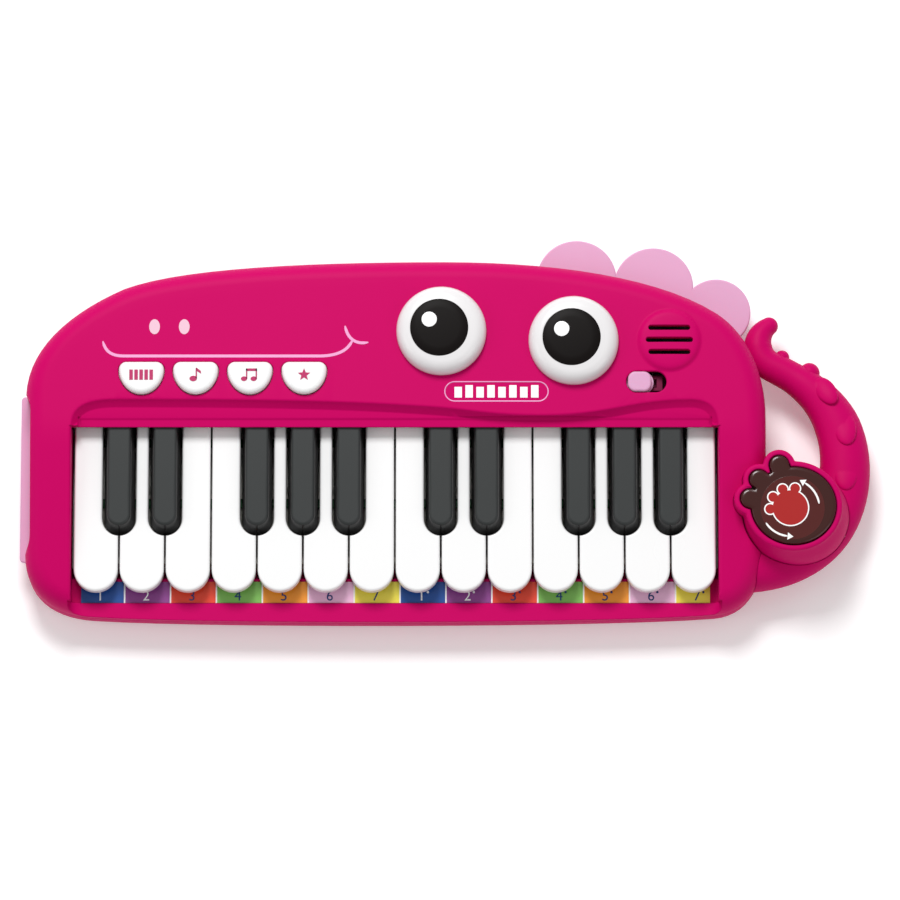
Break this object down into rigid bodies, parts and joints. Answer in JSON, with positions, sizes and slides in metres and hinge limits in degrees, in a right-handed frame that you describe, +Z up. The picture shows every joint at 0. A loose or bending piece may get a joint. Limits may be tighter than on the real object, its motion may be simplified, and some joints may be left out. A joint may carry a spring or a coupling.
{
  "type": "toy electronic keyboard",
  "caption": "Toy electronic keyboard with mini keys in a dinosaur-head case, half-moon sound buttons, domed eyes, a paw-shaped button and a curled tail as its carry handle.",
  "frame": {"origin": "on the table, under the middle of the outer box", "axes": "+X along the keys to the treble end and the tail, +Y away from the player, +Z up"},
  "size_m": [0.3901, 0.179, 0.0457],
  "materials": {
    "case_plastic": "smooth moulded magenta plastic with a soft gloss",
    "pale_plastic": "smooth moulded pale pink plastic, very slightly translucent",
    "white_plastic": "glossy white moulded plastic",
    "black_plastic": "satin black moulded plastic",
    "pupil_plastic": "glossy near-black disc with a printed white glint",
    "smoked_lens": "dark smoked translucent plastic, polished",
    "red_plastic": "printed red insert",
    "printed_strip": "satin printed film, coloured tiles with numbers",
    "dark_plastic": "plain moulded plastic, dark wine red",
    "grey_plastic": "plain moulded grey plastic",
    "grey_rubber": "soft grey silicone rubber",
    "black_rubber": "matte black rubber",
    "board": "green solder mask",
    "steel": "plated steel",
    "cell_wrap": "printed sleeve, green, no name",
    "cone_paper": "black speaker paper",
    "wire_skin": "red vinyl insulation"
  },
  "bodies": {
    "case": {"top_shell": "case_plastic", "bottom_shell": "case_plastic", "tail_upper": "case_plastic", "tail_lower": "case_plastic", "paw_bezel": "case_plastic", "dorsal_crest": "pale_plastic", "left_trim": "pale_plastic", "batteries": "cell_wrap", "battery_contacts": "steel", "eye_left": "white_plastic", "eye_right": "white_plastic", "pupils": "pupil_plastic", "button_pad": "grey_rubber", "slide_switch": "dark_plastic", "paw_board": "board", "speaker_frame": "steel", "speaker_cone": "cone_paper", "key_chassis": "grey_plastic", "key_pivot_rod": "steel", "key_contact_board": "board", "key_rubber_strip": "grey_rubber", "main_board": "board", "number_strip": "printed_strip", "case_screws": "steel", "board_screws": "steel", "feet": "black_rubber", "wires": "wire_skin"},
    "battery_door": {"battery_door": "case_plastic", "battery_door_screw": "steel"},
    "power_switch": {"power_switch_cap": "pale_plastic"},
    "paw_button": {"paw_button": "smoked_lens", "paw_insert": "red_plastic"},
    "white_key_1": {"white_key_1": "white_plastic"},
    "white_key_2": {"white_key_2": "white_plastic"},
    "white_key_3": {"white_key_3": "white_plastic"},
    "white_key_4": {"white_key_4": "white_plastic"},
    "white_key_5": {"white_key_5": "white_plastic"},
    "white_key_6": {"white_key_6": "white_plastic"},
    "white_key_7": {"white_key_7": "white_plastic"},
    "white_key_8": {"white_key_8": "white_plastic"},
    "white_key_9": {"white_key_9": "white_plastic"},
    "white_key_10": {"white_key_10": "white_plastic"},
    "white_key_11": {"white_key_11": "white_plastic"},
    "white_key_12": {"white_key_12": "white_plastic"},
    "white_key_13": {"white_key_13": "white_plastic"},
    "white_key_14": {"white_key_14": "white_plastic"},
    "black_key_1": {"black_key_1": "black_plastic"},
    "black_key_2": {"black_key_2": "black_plastic"},
    "black_key_3": {"black_key_3": "black_plastic"},
    "black_key_4": {"black_key_4": "black_plastic"},
    "black_key_5": {"black_key_5": "black_plastic"},
    "black_key_6": {"black_key_6": "black_plastic"},
    "black_key_7": {"black_key_7": "black_plastic"},
    "black_key_8": {"black_key_8": "black_plastic"},
    "black_key_9": {"black_key_9": "black_plastic"},
    "black_key_10": {"black_key_10": "black_plastic"},
    "sound_button_1": {"sound_button_1": "white_plastic"},
    "sound_button_2": {"sound_button_2": "white_plastic"},
    "sound_button_3": {"sound_button_3": "white_plastic"},
    "sound_button_4": {"sound_button_4": "white_plastic"}
  },
  "joints": [
    {"name": "white_key_1_press", "type": "hinge", "parent": "case", "child": "white_key_1", "pos_m": [-0.15965, 0.02, 0.017], "axis": [1, 0, 0], "range_deg": [0, 2.5], "stiffness_Nm_per_rad": 0.2, "springref_deg": -5.73, "deforming": ["key_rubber_strip"]},
    {"name": "white_key_2_press", "type": "hinge", "parent": "case", "child": "white_key_2", "pos_m": [-0.13865, 0.02, 0.017], "axis": [1, 0, 0], "range_deg": [0, 2.5], "stiffness_Nm_per_rad": 0.2, "springref_deg": -5.73, "deforming": ["key_rubber_strip"]},
    {"name": "white_key_3_press", "type": "hinge", "parent": "case", "child": "white_key_3", "pos_m": [-0.11765, 0.02, 0.017], "axis": [1, 0, 0], "range_deg": [0, 2.5], "stiffness_Nm_per_rad": 0.2, "springref_deg": -5.73, "deforming": ["key_rubber_strip"]},
    {"name": "white_key_4_press", "type": "hinge", "parent": "case", "child": "white_key_4", "pos_m": [-0.09665, 0.02, 0.017], "axis": [1, 0, 0], "range_deg": [0, 2.5], "stiffness_Nm_per_rad": 0.2, "springref_deg": -5.73, "deforming": ["key_rubber_strip"]},
    {"name": "white_key_5_press", "type": "hinge", "parent": "case", "child": "white_key_5", "pos_m": [-0.07565, 0.02, 0.017], "axis": [1, 0, 0], "range_deg": [0, 2.5], "stiffness_Nm_per_rad": 0.2, "springref_deg": -5.73, "deforming": ["key_rubber_strip"]},
    {"name": "white_key_6_press", "type": "hinge", "parent": "case", "child": "white_key_6", "pos_m": [-0.05465, 0.02, 0.017], "axis": [1, 0, 0], "range_deg": [0, 2.5], "stiffness_Nm_per_rad": 0.2, "springref_deg": -5.73, "deforming": ["key_rubber_strip"]},
    {"name": "white_key_7_press", "type": "hinge", "parent": "case", "child": "white_key_7", "pos_m": [-0.03365, 0.02, 0.017], "axis": [1, 0, 0], "range_deg": [0, 2.5], "stiffness_Nm_per_rad": 0.2, "springref_deg": -5.73, "deforming": ["key_rubber_strip"]},
    {"name": "white_key_8_press", "type": "hinge", "parent": "case", "child": "white_key_8", "pos_m": [-0.01265, 0.02, 0.017], "axis": [1, 0, 0], "range_deg": [0, 2.5], "stiffness_Nm_per_rad": 0.2, "springref_deg": -5.73, "deforming": ["key_rubber_strip"]},
    {"name": "white_key_9_press", "type": "hinge", "parent": "case", "child": "white_key_9", "pos_m": [0.00835, 0.02, 0.017], "axis": [1, 0, 0], "range_deg": [0, 2.5], "stiffness_Nm_per_rad": 0.2, "springref_deg": -5.73, "deforming": ["key_rubber_strip"]},
    {"name": "white_key_10_press", "type": "hinge", "parent": "case", "child": "white_key_10", "pos_m": [0.02935, 0.02, 0.017], "axis": [1, 0, 0], "range_deg": [0, 2.5], "stiffness_Nm_per_rad": 0.2, "springref_deg": -5.73, "deforming": ["key_rubber_strip"]},
    {"name": "white_key_11_press", "type": "hinge", "parent": "case", "child": "white_key_11", "pos_m": [0.05035, 0.02, 0.017], "axis": [1, 0, 0], "range_deg": [0, 2.5], "stiffness_Nm_per_rad": 0.2, "springref_deg": -5.73, "deforming": ["key_rubber_strip"]},
    {"name": "white_key_12_press", "type": "hinge", "parent": "case", "child": "white_key_12", "pos_m": [0.07135, 0.02, 0.017], "axis": [1, 0, 0], "range_deg": [0, 2.5], "stiffness_Nm_per_rad": 0.2, "springref_deg": -5.73, "deforming": ["key_rubber_strip"]},
    {"name": "white_key_13_press", "type": "hinge", "parent": "case", "child": "white_key_13", "pos_m": [0.09235, 0.02, 0.017], "axis": [1, 0, 0], "range_deg": [0, 2.5], "stiffness_Nm_per_rad": 0.2, "springref_deg": -5.73, "deforming": ["key_rubber_strip"]},
    {"name": "white_key_14_press", "type": "hinge", "parent": "case", "child": "white_key_14", "pos_m": [0.11335, 0.02, 0.017], "axis": [1, 0, 0], "range_deg": [0, 2.5], "stiffness_Nm_per_rad": 0.2, "springref_deg": -5.73, "deforming": ["key_rubber_strip"]},
    {"name": "black_key_1_press", "type": "hinge", "parent": "case", "child": "black_key_1", "pos_m": [-0.14915, 0.02, 0.017], "axis": [1, 0, 0], "range_deg": [0, 2.5], "stiffness_Nm_per_rad": 0.2, "springref_deg": -5.73, "deforming": ["key_rubber_strip"]},
    {"name": "black_key_2_press", "type": "hinge", "parent": "case", "child": "black_key_2", "pos_m": [-0.12815, 0.02, 0.017], "axis": [1, 0, 0], "range_deg": [0, 2.5], "stiffness_Nm_per_rad": 0.2, "springref_deg": -5.73, "deforming": ["key_rubber_strip"]},
    {"name": "black_key_3_press", "type": "hinge", "parent": "case", "child": "black_key_3", "pos_m": [-0.08615, 0.02, 0.017], "axis": [1, 0, 0], "range_deg": [0, 2.5], "stiffness_Nm_per_rad": 0.2, "springref_deg": -5.73, "deforming": ["key_rubber_strip"]},
    {"name": "black_key_4_press", "type": "hinge", "parent": "case", "child": "black_key_4", "pos_m": [-0.06515, 0.02, 0.017], "axis": [1, 0, 0], "range_deg": [0, 2.5], "stiffness_Nm_per_rad": 0.2, "springref_deg": -5.73, "deforming": ["key_rubber_strip"]},
    {"name": "black_key_5_press", "type": "hinge", "parent": "case", "child": "black_key_5", "pos_m": [-0.04415, 0.02, 0.017], "axis": [1, 0, 0], "range_deg": [0, 2.5], "stiffness_Nm_per_rad": 0.2, "springref_deg": -5.73, "deforming": ["key_rubber_strip"]},
    {"name": "black_key_6_press", "type": "hinge", "parent": "case", "child": "black_key_6", "pos_m": [-0.00215, 0.02, 0.017], "axis": [1, 0, 0], "range_deg": [0, 2.5], "stiffness_Nm_per_rad": 0.2, "springref_deg": -5.73, "deforming": ["key_rubber_strip"]},
    {"name": "black_key_7_press", "type": "hinge", "parent": "case", "child": "black_key_7", "pos_m": [0.01885, 0.02, 0.017], "axis": [1, 0, 0], "range_deg": [0, 2.5], "stiffness_Nm_per_rad": 0.2, "springref_deg": -5.73, "deforming": ["key_rubber_strip"]},
    {"name": "black_key_8_press", "type": "hinge", "parent": "case", "child": "black_key_8", "pos_m": [0.06085, 0.02, 0.017], "axis": [1, 0, 0], "range_deg": [0, 2.5], "stiffness_Nm_per_rad": 0.2, "springref_deg": -5.73, "deforming": ["key_rubber_strip"]},
    {"name": "black_key_9_press", "type": "hinge", "parent": "case", "child": "black_key_9", "pos_m": [0.08185, 0.02, 0.017], "axis": [1, 0, 0], "range_deg": [0, 2.5], "stiffness_Nm_per_rad": 0.2, "springref_deg": -5.73, "deforming": ["key_rubber_strip"]},
    {"name": "black_key_10_press", "type": "hinge", "parent": "case", "child": "black_key_10", "pos_m": [0.10285, 0.02, 0.017], "axis": [1, 0, 0], "range_deg": [0, 2.5], "stiffness_Nm_per_rad": 0.2, "springref_deg": -5.73, "deforming": ["key_rubber_strip"]},
    {"name": "sound_button_1_press", "type": "slide", "parent": "case", "child": "sound_button_1", "axis": [0, 0, -1], "range_m": [0, 0.0014], "stiffness_N_per_m": 250, "springref_m": -0.001, "deforming": ["button_pad"]},
    {"name": "sound_button_2_press", "type": "slide", "parent": "case", "child": "sound_button_2", "axis": [0, 0, -1], "range_m": [0, 0.0014], "stiffness_N_per_m": 250, "springref_m": -0.001, "deforming": ["button_pad"]},
    {"name": "sound_button_3_press", "type": "slide", "parent": "case", "child": "sound_button_3", "axis": [0, 0, -1], "range_m": [0, 0.0014], "stiffness_N_per_m": 250, "springref_m": -0.001, "deforming": ["button_pad"]},
    {"name": "sound_button_4_press", "type": "slide", "parent": "case", "child": "sound_button_4", "axis": [0, 0, -1], "range_m": [0, 0.0014], "stiffness_N_per_m": 250, "springref_m": -0.001, "deforming": ["button_pad"]},
    {"name": "paw_press", "type": "slide", "parent": "case", "child": "paw_button", "axis": [0, 0, -1], "range_m": [0, 0.0015], "stiffness_N_per_m": 350, "springref_m": -0.002},
    {"name": "power_switch_slide", "type": "slide", "parent": "case", "child": "power_switch", "axis": [1, 0, 0], "range_m": [0, 0.0063]},
    {"name": "battery_door_hinge", "type": "hinge", "parent": "case", "child": "battery_door", "pos_m": [-0.0743, 0.0496, 0.002], "axis": [0, 1, 0], "range_deg": [0, 60]}
  ]
}
